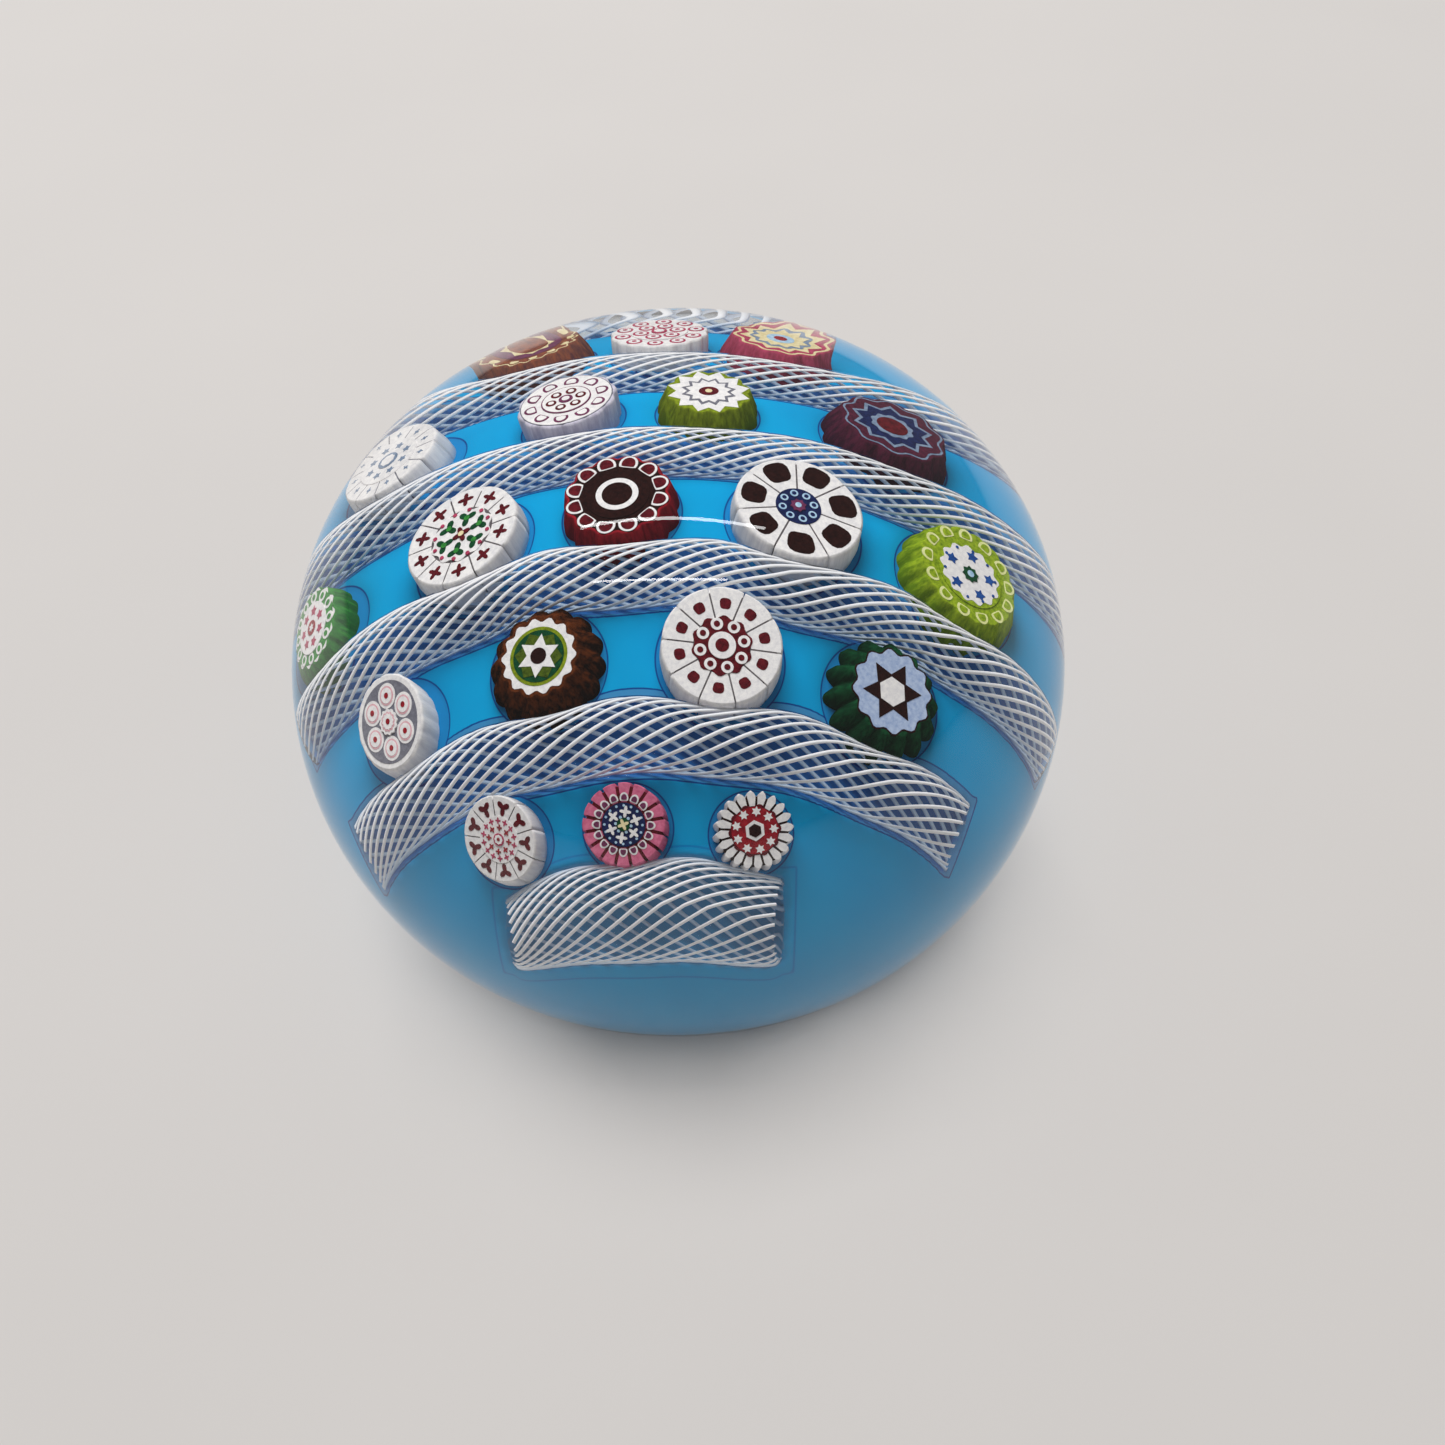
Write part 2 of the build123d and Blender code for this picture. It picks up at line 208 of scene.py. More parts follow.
# A slice is a drum (finish, lobes, their depth) with fused layers laid on its face from the rim inward.
# A layer is (motif, size, finish, how many, distance out, turn): sizes and distances are shares of the
# slice's radius, a size may be (length, width), and a petal's size is where it begins and ends. A slice
# that was squeezed out of round has a stretch along X and up the slope; gap is its own line between
# petals, and shoulder is its face's share of the drum's width where the drum slopes out below it.
canePatterns = {
    "amber": {
        "shoulder": 0.88,
        "drum": ("amber", 18, 0.05),
        "casing": [("cog18", 0.86, "cream"), ("cog18", 0.82, "amber"),
                   ("window", (0.09, 0.08), "cream", 12, 0.69)],
        "heart": [("round", 0.55, "mauve"), ("burst8", 0.42, "cream"), ("round", 0.3, "amber")],
    },
    "floret": {
        "drum": ("opal", 16, 0.05),
        "casing": [("round", 0.17, "rose", 10, 0.76), ("cog8", 0.13, "opal", 10, 0.76),
                   ("round", 0.05, "rose", 10, 0.76)],
        "heart": [("round", 0.58, "opal"), ("round", 0.17, "rose", 6, 0.38),
                  ("cog8", 0.13, "opal", 6, 0.38), ("round", 0.05, "rose", 6, 0.38),
                  ("round", 0.16, "rose"), ("cog8", 0.11, "opal")],
    },
    "rose": {
        "shoulder": 0.88,
        "drum": ("rose", 11, 0.09),
        "casing": [("cog11", 0.85, "cream"), ("cog11", 0.79, "rose"), ("burst11", 0.73, "cream")],
        "heart": [("cog11", 0.55, "slate"), ("burst11", 0.5, "cream"), ("round", 0.25, "sky"),
                  ("round", 0.12, "ruby")],
    },
    "pearl": {
        "stretch": (0.88, 1.0),
        "drum": ("grey", 22, 0.05),
        "casing": [("petal", (0.55, 0.97), "opal", 11), ("cross", (0.08, 0.05), "slate", 11, 0.74)],
        "heart": [("round", 0.58, "opal"), ("star5", 0.09, "slate", 8, 0.38), ("round", 0.2, "slate"),
                  ("cog8", 0.15, "opal")],
    },
    "violet": {
        "drum": ("lilac", 12, 0.06),
        "casing": [("round", 0.93, "grey"), ("round", 0.91, "opal"),
                   ("window", (0.165, 0.15), "mauve", 10, 0.69),
                   ("window", (0.115, 0.1), "opal", 10, 0.69)],
        "heart": [("round", 0.5, "mauve"), ("round", 0.475, "opal"), ("round", 0.11, "maroon", 6, 0.3),
                  ("round", 0.06, "opal", 6, 0.3), ("round", 0.14, "mauve"), ("round", 0.08, "opal")],
    },
    "olive": {
        "shoulder": 0.86,
        "drum": ("olive", 12, 0.09),
        "casing": [("burst12", 0.84, "opal")],
        "heart": [("burst12", 0.56, "grey"), ("burst12", 0.47, "opal"),
                  ("round", (0.2, 0.17), "maroon"), ("round", 0.07, "cream")],
    },
    "plum": {
        "shoulder": 0.86,
        "drum": ("plum", 10, 0.08),
        "casing": [("cog10", 0.83, "slate"), ("cog10", 0.79, "plum")],
        "heart": [("burst10", 0.66, "slate"), ("burst10", 0.58, "night"), ("cog10", 0.34, "slate"),
                  ("round", 0.24, "maroon")],
    },
    "green": {
        "shoulder": 0.88,
        "stretch": (0.8, 1.0),
        "drum": ("leaf", 14, 0.06),
        "casing": [("cog14", 0.87, "opal"), ("round", 0.79, "leaf"),
                   ("round", (0.13, 0.12), "opal", 12, 0.68),
                   ("round", (0.07, 0.06), "leaf", 12, 0.68)],
        "heart": [("round", 0.56, "opal"), ("star5", 0.12, "rose", 7, 0.36), ("round", 0.16, "ruby"),
                  ("star6", 0.1, "opal")],
    },
    "clover": {
        "drum": ("line", 10, 0.05),
        "casing": [("petal", (0.54, 0.975), "opal", 10), ("cross", 0.14, "maroon", 10, 0.74)],
        "heart": [("cog10", 0.55, "opal"), ("trefoil", 0.17, "forest", 6, 0.32),
                  ("round", 0.05, "leaf", 6, 0.32), ("round", 0.035, "rose", 12, 0.48),
                  ("cross", 0.16, "maroon"), ("round", 0.05, "cream")],
    },
    "ruby": {
        "shoulder": 0.94,
        "drum": ("ruby", 12, 0.08),
        "casing": [("cog12", 0.93, "nightBrown"), ("window", (0.18, 0.165), "opal", 12, 0.73),
                   ("window", (0.14, 0.12), "maroon", 12, 0.73)],
        "heart": [("round", 0.56, "nightBrown"), ("round", 0.37, "opal"),
                  ("round", 0.265, "nightBrown")],
    },
    "petal": {
        "drum": ("line", 7, 0.05),
        "casing": [("petal", (0.34, 0.975), "opal", 7), ("lobe", (0.24, 0.25), "nightBrown", 7, 0.67)],
        "heart": [("round", 0.35, "night"), ("round", 0.065, "sky", 8, 0.25),
                  ("round", 0.035, "night", 8, 0.25), ("burst8", 0.13, "mauve"),
                  ("round", 0.05, "sky")],
    },
    "lime": {
        "shoulder": 0.88,
        "drum": ("lime", 16, 0.06),
        "casing": [("window", (0.13, 0.12), "paleLime", 13, 0.73),
                   ("window", (0.085, 0.075), "lime", 13, 0.73)],
        "heart": [("round", 0.58, "lime"), ("cog13", 0.55, "opal"), ("star5", 0.11, "blue", 5, 0.36),
                  ("round", 0.025, "blue", 10, 0.47), ("burst8", 0.15, "forest"),
                  ("round", 0.06, "sky")],
    },
    "rosette": {
        "stretch": (0.82, 1.0),
        "drum": ("opal", 18, 0.02),
        "casing": [("round", 0.95, "opal"), ("round", 0.85, "grey"), ("cog12", 0.275, "opal", 6, 0.54),
                   ("cog12", 0.21, "paleRose", 6, 0.54), ("cog12", 0.17, "opal", 6, 0.54),
                   ("round", 0.06, "ruby", 6, 0.54)],
        "heart": [("cog12", 0.275, "opal"), ("cog12", 0.21, "paleRose"), ("cog12", 0.17, "opal"),
                  ("round", 0.06, "ruby")],
    },
    "chestnut": {
        "shoulder": 0.73,
        "drum": ("chestnut", 14, 0.1),
        "casing": [("cog14", 0.67, "opal")],
        "heart": [("round", 0.51, "olive"), ("round", 0.45, "forest"),
                  ("burst6", 0.43, "moss", 1, 0, 30), ("star6", 0.38, "opal"),
                  ("round", 0.14, "nightBrown")],
    },
    "window": {
        "drum": ("line", 10, 0.05),
        "casing": [("petal", (0.46, 0.975), "opal", 10), ("lobe", 0.11, "maroon", 10, 0.68)],
        "heart": [("cog10", 0.5, "maroon"), ("round", 0.1, "opal", 8, 0.36),
                  ("round", 0.05, "maroon", 8, 0.36), ("round", 0.22, "opal"),
                  ("round", 0.11, "maroon")],
    },
    "forest": {
        "shoulder": 0.76,
        "drum": ("forest", 14, 0.2),
        "casing": [("cog12", 0.74, "nightBrown"), ("cog12", 0.71, "ice")],
        "heart": [("star6", 0.53, "nightBrown"), ("hex", 0.25, "opal")],
    },
    "trefoil": {
        "stretch": (0.9, 1.04),
        "drum": ("line", 9, 0.05),
        "casing": [("petal", (0.5, 0.975), "opal", 9), ("trefoil", (0.19, 0.18), "maroon", 9, 0.72)],
        "heart": [("round", 0.52, "opal"), ("cross", 0.075, "rose", 14, 0.42),
                  ("cross", 0.075, "ruby", 8, 0.27), ("round", 0.14, "rose"), ("cog8", 0.11, "opal"),
                  ("round", 0.04, "ruby")],
    },
    "pink": {
        "drum": ("maroon", 16, 0.06),
        "gap": 0.04,
        "casing": [("petal", (0.52, 0.965), "pink", 16), ("window", (0.13, 0.1), "opal", 16, 0.61),
                   ("window", (0.085, 0.065), "mauve", 16, 0.61)],
        "heart": [("round", 0.5, "night"), ("round", 0.03, "sky", 16, 0.44),
                  ("cross", 0.14, "opal", 6, 0.3), ("round", 0.035, "sky", 6, 0.18, 30),
                  ("round", 0.15, "forest"), ("cross", 0.14, "cream")],
    },
    "snow": {
        "drum": ("nightBrown", 20, 0.12),
        "gap": 0.03,
        "casing": [("spike", (0.6, 0.98), "opal", 20), ("cog10", 0.66, "maroon")],
        "heart": [("round", 0.58, "ruby"), ("star6", 0.125, "opal", 9, 0.47), ("hex", 0.26, "opal"),
                  ("hex", 0.17, "nightBrown")],
    },
}

# opaque coloured glass: the paler and the deeper colour that its drawn grain runs between; the deeper one
# is also the painted shade towards a slice's underside
caneColours = {
    "opal": ("#f6f3f0", "#dcdadc"),
    "cream": ("#efe3b8", "#d8c48c"),
    "amber": ("#9a5230", "#5a2a2c"),
    "rose": ("#c0486a", "#8e2a44"),
    "paleRose": ("#e6bcc2", "#d59aa4"),
    "pink": ("#dc7a98", "#c4587c"),
    "ruby": ("#a8202c", "#6e1220"),
    "maroon": ("#6a1822", "#3c0a14"),
    "mauve": ("#7c3a5e", "#542642"),
    "plum": ("#5c2138", "#341526"),
    "olive": ("#8ea020", "#5c6a14"),
    "moss": ("#566a1c", "#2a3a10"),
    "lime": ("#a6bf2a", "#5f7c14"),
    "paleLime": ("#eef0b4", "#d6dc88"),
    "leaf": ("#3f9a3c", "#1c5c2c"),
    "forest": ("#14502e", "#08301c"),
    "chestnut": ("#6a3416", "#1c0c06"),
    "nightBrown": ("#2e1412", "#180a0a"),
    "night": ("#1e2a5a", "#141838"),
    "blue": ("#2456a0", "#16387a"),
    "sky": ("#bcd8ec", "#8cb4d4"),
    "slate": ("#8a9cb4", "#647690"),
    "grey": ("#82828c", "#62626e"),
    "lilac": ("#dcd8e4", "#b8b2c6"),
    "ice": ("#bccce6", "#92a8d0"),
    "line": ("#6c6668", "#4a4448"),
}
caneForm = {
    "proud": 2.6,  # face above the ground
    "sink": 1.6,  # underside below the ground
    "faceRoom": 0.12,  # drum's own face below the slice's, which leaves room for the layers
    "layerStep": 0.035,  # each fused layer over the one before
    "layerSink": 0.05,  # how deep a layer begins in the drum
    # the drum's side from its underside up: shares of its height, and its width at each
    "drumRise": (0.0, 0.25, 0.5, 0.75, 0.93, 0.985, 1.0),
    "drumWidth": (0.9, 0.94, 0.97, 0.99, 1.0, 0.985, 0.955),
    "slopedWidth": (0.97, 1.0, 1.0, 1.0, 1.0, 0.995, 0.975),  # where it slopes out from a smaller face
    "slope": (0.45, 0.95),  # shares of the height where that slope begins and ends
    "lobeCorners": 12,
    "lineGap": 0.014,  # half the dark line between two petals, a share of the radius
    "petalDrum": 0.07,  # how far the drum shrinks behind petals, a share of the radius
    "petalCorners": 9,
    "petalFoot": (0.9, 0.97),  # a petal's widest reach at the underside and halfway up
    # its widest reach at depths below its face, where 2 is no limit
    "petalRim": ((0.6, 2.0), (0.2, 0.985), (0.0, 0.94)),
    "petalTip": 0.01,  # how far its rim falls back towards its corners
    "spikeTip": 0.15,
    "grainStretch": 0.12,  # the grain is drawn out along the slice's height
    "grainShift": 7.0,  # so that no two colours share one grain
    "firstTurn": 0.3,  # turn of every pattern's first motif, radians
}


def loadCane(name):
    # a slice's middle is the middle of its casing's box, and its axis is square to the ground there
    low, high = (np.array(corner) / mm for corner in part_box(name + "_cane_casing"))
    middle = (low + high) / 2
    normal = groundNormal(middle)
    side = unit(np.array([normal[2], 0.0, -normal[0]]))
    back = np.cross(normal, side)
    # a round slice's box is 2 r sqrt(1 - n^2) + h n wide along an axis whose share of the normal is n
    height = caneForm["proud"] + caneForm["sink"]
    along = abs(normal[1])
    radius = (high[1] - low[1] - height * along) / (2 * np.sqrt(1 - along**2))
    return {"middle": middle, "axes": np.stack([side, back, normal]), "radius": radius}


canes = {name: loadCane(name) for name in canePatterns}

# rods: centre lines, and how the canes beside them press them narrower

rodForm = {
    "lift": 0.8,  # middle above the ground
    "endInset": 1.6,
    "rowAngle": 23.0,
    "steps": 260,
    "squeezeShare": 0.7,  # how much of the room taken by a cane a rod gives up
    "squeezeSoftness": 2.8,  # length over which the squeeze comes and goes
    "leastWidth": 0.55,  # a squeezed side keeps this share of its width
    "bulge": 0.4,  # share of what one side loses that the other side gains
}
# row, radius, slide along X off the middle, number of threads, length of one turn, how far its
# ends are cut square to X (0 is square to the rod), clear skin behind, in front and at the ends
rodValues = {
    1: (-2.6, 4.0, -1.7, 22, 42.0, 1.0, (0.7, 1.3, 1.1)),
    2: (-1.5, 3.0, -0.7, 16, 33.0, 0.6, (0.8, 0.12, 0.5)),
    3: (-0.5, 2.7, 0.6, 16, 31.0, 0.0, (0.8, 0.12, 0.5)),
    4: (0.48, 2.4, 0.0, 15, 30.0, 0.0, (0.8, 0.12, 0.5)),
    5: (1.45, 2.2, 0.0, 14, 28.0, 0.0, (0.8, 0.12, 0.5)),
    6: (2.7, 2.2, 0.0, 14, 28.0, 0.0, (0.8, 0.12, 0.5)),
}
# the short front rod slumped down the slope: how much its lower side gains at its left end, at its
# middle and at its right end
frontSlump = (-1.5, 1.4, -0.1)


def loadRod(number):
    row, radius, slide, threads, turn, square, skin = rodValues[number]
    y = (cushionForm["radius"] + rodForm["lift"]) * np.sin(np.radians(row * rodForm["rowAngle"]))
    half = np.sqrt((cushionForm["radius"] - rodForm["endInset"]) ** 2 - y**2)
    # spaced evenly by turn about the cushion's axis, so that the steep ends get their share of steps
    x = half * np.sin(np.linspace(-1, 1, rodForm["steps"]) * np.pi / 2) + slide
    line = np.stack([x, 0 * x + y, groundHeight(np.hypot(x, y), rodForm["lift"])], -1)
    along = unit((1 - square) * unit(np.gradient(line, axis=0)) + square * np.array([1.0, 0.0, 0.0]))
    out = groundNormal(line)
    out = unit(out - (out * along).sum(-1, keepdims=True) * along)
    back = np.cross(out, along)
    length = np.concatenate([[0], np.cumsum(np.linalg.norm(np.diff(line, axis=0), axis=-1))])
    # room on each side: from the middle line to the nearest cane, less the clear glass between
    room = {}
    for side in (1, -1):
        free = np.full(len(x), radius)
        for cane in canes.values():
            gap = cane["middle"] - line
            ahead, across = (gap * along).sum(-1), side * (gap * back).sum(-1)
            reach = cane["radius"] ** 2 - ahead**2
            near = (reach > 0) & (across > 0)
            limit = across - np.sqrt(np.maximum(reach, 0))
            free = np.where(near, np.minimum(free, limit), free)
        free = np.maximum(free, rodForm["leastWidth"] * radius)
        weight = np.exp(-((length[:, None] - length) / rodForm["squeezeSoftness"]) ** 2)
        weight *= np.gradient(length)
        room[side] = (weight @ free) / weight.sum(1)
    # what one side loses, the other side gains in part
    lost = {side: rodForm["squeezeShare"] * (radius - room[side]) for side in room}
    gained = {side: rodForm["bulge"] * np.clip(lost[-side] - lost[side], 0, None) for side in room}
    wide = {side: radius - lost[side] + gained[side] for side in room}
    if number == 1:
        # a curve through the three slumps: middle (1 - u^2) + left (u^2 - u) / 2 + right (u^2 + u) / 2
        u = np.linspace(-1, 1, len(x))
        left, middle, right = frontSlump
        wide[-1] = wide[-1] + middle * (1 - u**2) + left * (u**2 - u) / 2 + right * (u**2 + u) / 2
    return {"radius": radius, "line": line, "along": along, "out": out, "back": back, "length": length,
            "wide": wide, "threads": threads, "turn": turn, "skin": skin,
            "fields": ("shallowEdge", "shallowSkin") if number == 1 else ("rodEdge", "skinEdge")}


rods = {number: loadRod(number) for number in rodValues}


def rodSection(rod, turn, inset=0.0):
    # a point on the rod's skin at each step: the middle line plus a back-and-front width times the
    # cosine of the turn, and its radius times the sine outward from the ground
    cosine, sine = np.cos(turn), np.sin(turn)
    spread = [1] * (turn.ndim - 1)
    front, back = (rod["wide"][side].reshape(-1, *spread) for side in (-1, 1))
    width = np.where(cosine > 0, back, front) - inset
    line, out, side = (rod[key].reshape(-1, *spread, 3) for key in ("line", "out", "back"))
    return line + (width * cosine)[..., None] * side + ((rod["radius"] - inset) * sine)[..., None] * out


print("canes and rods placed")


# finishes

glassFinish = {
    "crystal": (1.52, "#fbfdff"),  # refractive index and tint
    "rodSkin": (1.04, "#f4fbff"),  # index against the clear glass around it
    "cordScale": 90.0,
    "foot": "#f4f8fa",
    "footRoughness": 0.55,
    "gritScale": 3300.0,
    "gritStrength": 0.3,
    "gritDepth": 0.0001,  # metres
}
enamelFinish = {
    "ior": 1.5,
    "roughness": 0.45,
    "grainScale": 2.6,
    "grainRoughness": 0.65,
    "grainRange": (0.35, 0.7),  # values of the noise where the grain is palest and deepest
    "thread": ("#fdfcfc", "#f2f1f3"),
    "threadShadeBeneath": "#bcd0e4",  # painted shade and painted blue bounce light where it runs beneath the rod
    "threadRoughness": 0.35,
    "wispScale": 500.0,
}
groundFinish = {
    "bright": "#06a8de",
    "deep": "#0696d0",
    # painted shade: the dark line at the edge of each rod's clear skin and round each cane
    "line": "#123c86",
    "skinShade": "#3f8cc0",  # painted shade under a rod's clear skin, greyer and darker than the open ground
    "bedShade": "#3878bc",  # painted shade in the bed under a rod
    "shallowBedShade": "#4c9aca",  # lighter painted shade in the bed under the short rod at the front
    "shallowLineShade": "#0a86c8",  # painted shade line at the edge of that rod's clear skin
    "caneShade": "#1a86c4",  # painted shade: darker blue round each cane
    "roughness": 0.4,
    "mottleScale": 160.0,
}
allWithin = -9.0  # mm inside an edge, farther than any point is
# bands of painted shade on the ground: the edge they follow, where they begin and end past it, how soft
# they are, and their colour. Each lies over the ones before
groundBands = [
    ("skinEdge", allWithin, 0.0, 0.08, "skinShade"),
    ("skinEdge", 0.0, 0.13, 0.05, "line"),
    ("rodEdge", allWithin, 0.0, 0.08, "bedShade"),
    ("shallowSkin", -0.05, 0.12, 0.06, "shallowLineShade"),
    ("shallowEdge", allWithin, 0.1, 0.12, "shallowBedShade"),
    ("caneEdge", allWithin, 0.08, 0.06, "caneShade"),
    ("caneEdge", 0.08, 0.2, 0.05, "line"),
]


def objectNoise(tree, scale, detail):
    # noise that stays with its object; its blotches are about 1 / scale metres across
    coords = addNode(tree, "ShaderNodeTexCoord")
    noise = addNode(tree, "ShaderNodeTexNoise", {
        "Vector": coords.outputs["Object"], "Scale": scale, "Detail": detail})
    return noise.outputs["Fac"]


def mixColours(tree, share, first, second):
    # a colour is text or another node's output; the node's own are its inputs 6 and 7 and output 2
    first, second = (linear(colour) if isinstance(colour, str) else colour for colour in (first, second))
    mix = addNode(tree, "ShaderNodeMix", {"Factor": share, 6: first, 7: second}, data_type="RGBA")
    return mix.outputs[2]


def addSurface(tree, values):
    shader = addNode(tree, "ShaderNodeBsdfPrincipled", values)
    addNode(tree, "ShaderNodeOutputMaterial", {"Surface": shader.outputs["BSDF"]})


def clearGlass(name, ior, tint):
    # clear lead crystal, gathered hot and fire polished: colourless, bright edges, sharp reflections.
    # Faint cords in the melt, about a centimetre long, only just tint it
    material, tree = newMaterial(name)
    cords = objectNoise(tree, glassFinish["cordScale"], 2.0)
    colour = mixColours(tree, cords, tint, "#ffffff")
    addSurface(tree, {"Base Color": colour, "Roughness": 0.0, "IOR": ior, "Transmission Weight": 1.0})
    return material


def groundGlass(name):
    # the foot ring, ground flat on a wheel and left matt: fine grit scratches scatter the light.
    # Real grit is about 0.1 mm; it is drawn at 0.3 mm so that it shows
    material, tree = newMaterial(name)
    bump = addNode(tree, "ShaderNodeBump", {
        "Height": objectNoise(tree, glassFinish["gritScale"], 3.0),
        "Strength": glassFinish["gritStrength"], "Distance": glassFinish["gritDepth"]})
    addSurface(tree, {
        "Base Color": linear(glassFinish["foot"]), "Roughness": glassFinish["footRoughness"],
        "IOR": glassFinish["crystal"][0], "Transmission Weight": 1.0, "Normal": bump.outputs["Normal"]})
    return material


def addEnamel(tree, colour, roughness):
    # enamel lies inside clear glass, so it has no shine of its own
    addSurface(tree, {"Base Color": colour, "Roughness": roughness, "IOR": enamelFinish["ior"],
                      "Specular IOR Level": 0.0})


def drawnGlass(name, pale, deep):
    # opaque enamel glass, drawn into cane: an even colour with hair-fine grain along its length, and
    # painted shade that darkens it towards the underside
    material, tree = newMaterial(name)
    drawn = addNode(tree, "ShaderNodeAttribute", attribute_name="drawn")
    grain = addNode(tree, "ShaderNodeTexNoise", {
        "Vector": drawn.outputs["Vector"], "Scale": enamelFinish["grainScale"], "Detail": 4.0,
        "Roughness": enamelFinish["grainRoughness"]})
    palest, deepest = enamelFinish["grainRange"]
    sharper = addNode(tree, "ShaderNodeMapRange", {
        "Value": grain.outputs["Fac"], "From Min": palest, "From Max": deepest})
    # painted shade: the colour darkens towards the underside of each slice, away from the light
    below = addNode(tree, "ShaderNodeAttribute", attribute_name="below")
    grainAndShade = addNode(tree, "ShaderNodeMath", {0: sharper.outputs["Result"], 1: below.outputs["Fac"]},
                       operation="ADD", use_clamp=True)
    colour = mixColours(tree, grainAndShade.outputs["Value"], pale, deep)
    addEnamel(tree, colour, enamelFinish["roughness"])
    return material


def threadGlass(name):
    # white enamel threads, twisted hot: clean white, a little greyer where they thin, and blue-grey with
    # painted shade and painted blue bounce light from the ground where they run beneath the rod
    material, tree = newMaterial(name)
    wisps = objectNoise(tree, enamelFinish["wispScale"], 2.0)
    under = addNode(tree, "ShaderNodeAttribute", attribute_name="under")
    white = mixColours(tree, wisps, *enamelFinish["thread"])
    colour = mixColours(tree, under.outputs["Fac"], white, enamelFinish["threadShadeBeneath"])
    addEnamel(tree, colour, enamelFinish["threadRoughness"])
    return material


def blueGround(name):
    # opaque sky-blue enamel, pressed under the hot canes: even and faintly mottled, with painted shade in
    # bands: a dark line at the edge of each cane and rod, and darker blue under each rod, its skin and
    # round each cane
    material, tree = newMaterial(name)
    mottle = objectNoise(tree, groundFinish["mottleScale"], 3.0)
    colour = mixColours(tree, mottle, groundFinish["bright"], groundFinish["deep"])
    for attribute, inner, outer, soft, finish in groundBands:
        distance = addNode(tree, "ShaderNodeAttribute", attribute_name=attribute)
        eased = []  # in across the inner distance, out across the outer one
        for edge, fromShare, toShare in ((inner, 0.0, 1.0), (outer, 1.0, 0.0)):
            ease = addNode(tree, "ShaderNodeMapRange", {
                "Value": distance.outputs["Fac"], "From Min": edge - soft, "From Max": edge + soft,
                "To Min": fromShare, "To Max": toShare}, interpolation_type="SMOOTHSTEP")
            eased.append(ease.outputs["Result"])
        both = addNode(tree, "ShaderNodeMath", {0: eased[0], 1: eased[1]}, operation="MULTIPLY")
        colour = mixColours(tree, both.outputs["Value"], colour, groundFinish[finish])
    addEnamel(tree, colour, groundFinish["roughness"])
    return material


finishes = {name: drawnGlass(name + "_enamel_glass", *pair) for name, pair in caneColours.items()}
crystal = clearGlass("fire_polished_crystal", *glassFinish["crystal"])
groundFoot = groundGlass("wheel_ground_foot")
rodSkin = clearGlass("drawn_clear_rod_skin", *glassFinish["rodSkin"])
threadWhite = threadGlass("white_enamel_thread")
print("finishes made")


# clear glass: one smooth skin from the hollow under the foot to the crown

def passLight(piece):
    # lamps light what lies inside straight through the clear glass, as its real caustics would
    piece.visible_shadow = False
    piece.visible_diffuse = False


def buildGlass():
    form, rows = glassForm, glassForm["rows"]
    equator, turn, depth = form["equatorHeight"], form["crownAngle"], form["hollowDepth"]
    crown, shoulder = twoArcs(domeRadius, domeTop - equator, turn)
    ringOuter = form["footRadius"] - form["footBevel"]
    ringInner = ringOuter - form["footRing"]
    # an arc's radius from its run and rise: (run^2 + rise^2) / (2 run) where it ends upright, or
    # over 2 rise where it ends level
    run = domeRadius - form["footRadius"]
    belly = (run**2 + equator**2) / (2 * run)
    bowl = (ringInner**2 + depth**2) / (2 * depth)
    bowlTurn = np.degrees(np.arcsin(ringInner / bowl))
    bellyTurn = np.degrees(np.arcsin((equator - form["footBevel"]) / belly))
    ring = np.linspace(ringInner + form["ringStart"], ringOuter, rows["ring"])
    hollow = arcPoints(bowl, (0, depth - bowl), bowlTurn / rows["hollow"], bowlTurn, rows["hollow"])
    flat = np.stack([ring, 0 * ring], -1)
    side = arcPoints(belly, (domeRadius - belly, equator), 90 + bellyTurn, 90, rows["side"])
    upper = arcPoints(shoulder, (domeRadius - shoulder, equator), 90, turn, rows["shoulder"])
    cap = arcPoints(crown, (0, domeTop - crown), turn, turn / rows["crown"], rows["crown"])
    profile = np.concatenate([hollow, flat, side, upper[1:], cap[1:]])
    surface = shell(spun(profile, form["around"]), (0, 0, depth), (0, 0, domeTop))
    nodes = ["clear_dome", "base_plate"]
    piece = makePiece("glass_envelope", [surface], [crystal, groundFoot], nodes)
    # the quads between the flat's rows are the ground foot ring
    finish = np.zeros(len(piece.data.polygons), int)
    finish[rows["hollow"] * form["around"]:(rows["hollow"] + rows["ring"] - 1) * form["around"]] = 1
    piece.data.polygons.foreach_set("material_index", finish.tolist())
    passLight(piece)


# blue ground: the cushion's outline on a round grid, pressed down under each rod

bedForm = {
    "wallRows": 8,
    "farAway": 20.0,  # edge distance of a point that nothing lies near
    "beside": -5.0,  # distance past a rod's end, for a point that lies beside the rod
    "passes": 3,  # times that a point's place along a rod is worked out
    "rodReach": 2.5,  # a rod presses what is within this many radii of it, in or out of the ground
    "caneReach": 6.0,  # a cane shapes what is within this height above and below its middle
    "gap": 0.1,  # how much deeper and wider than its rod a bed is
    "sideGap": 0.12,
    "endFade": 0.5,  # length over which a bed runs out past the rod's end
    "dipDepth": 0.35,  # of the shallow dip round each cane
    "dipWidth": 0.7,
}


def boxEdge(sideways, beyond):
    # distance round a box with rounded corners: hypot of what is outside, or the nearer side within
    outside = np.hypot(np.maximum(sideways, 0), np.maximum(beyond, 0))
    return outside + np.minimum(np.maximum(sideways, beyond), 0)


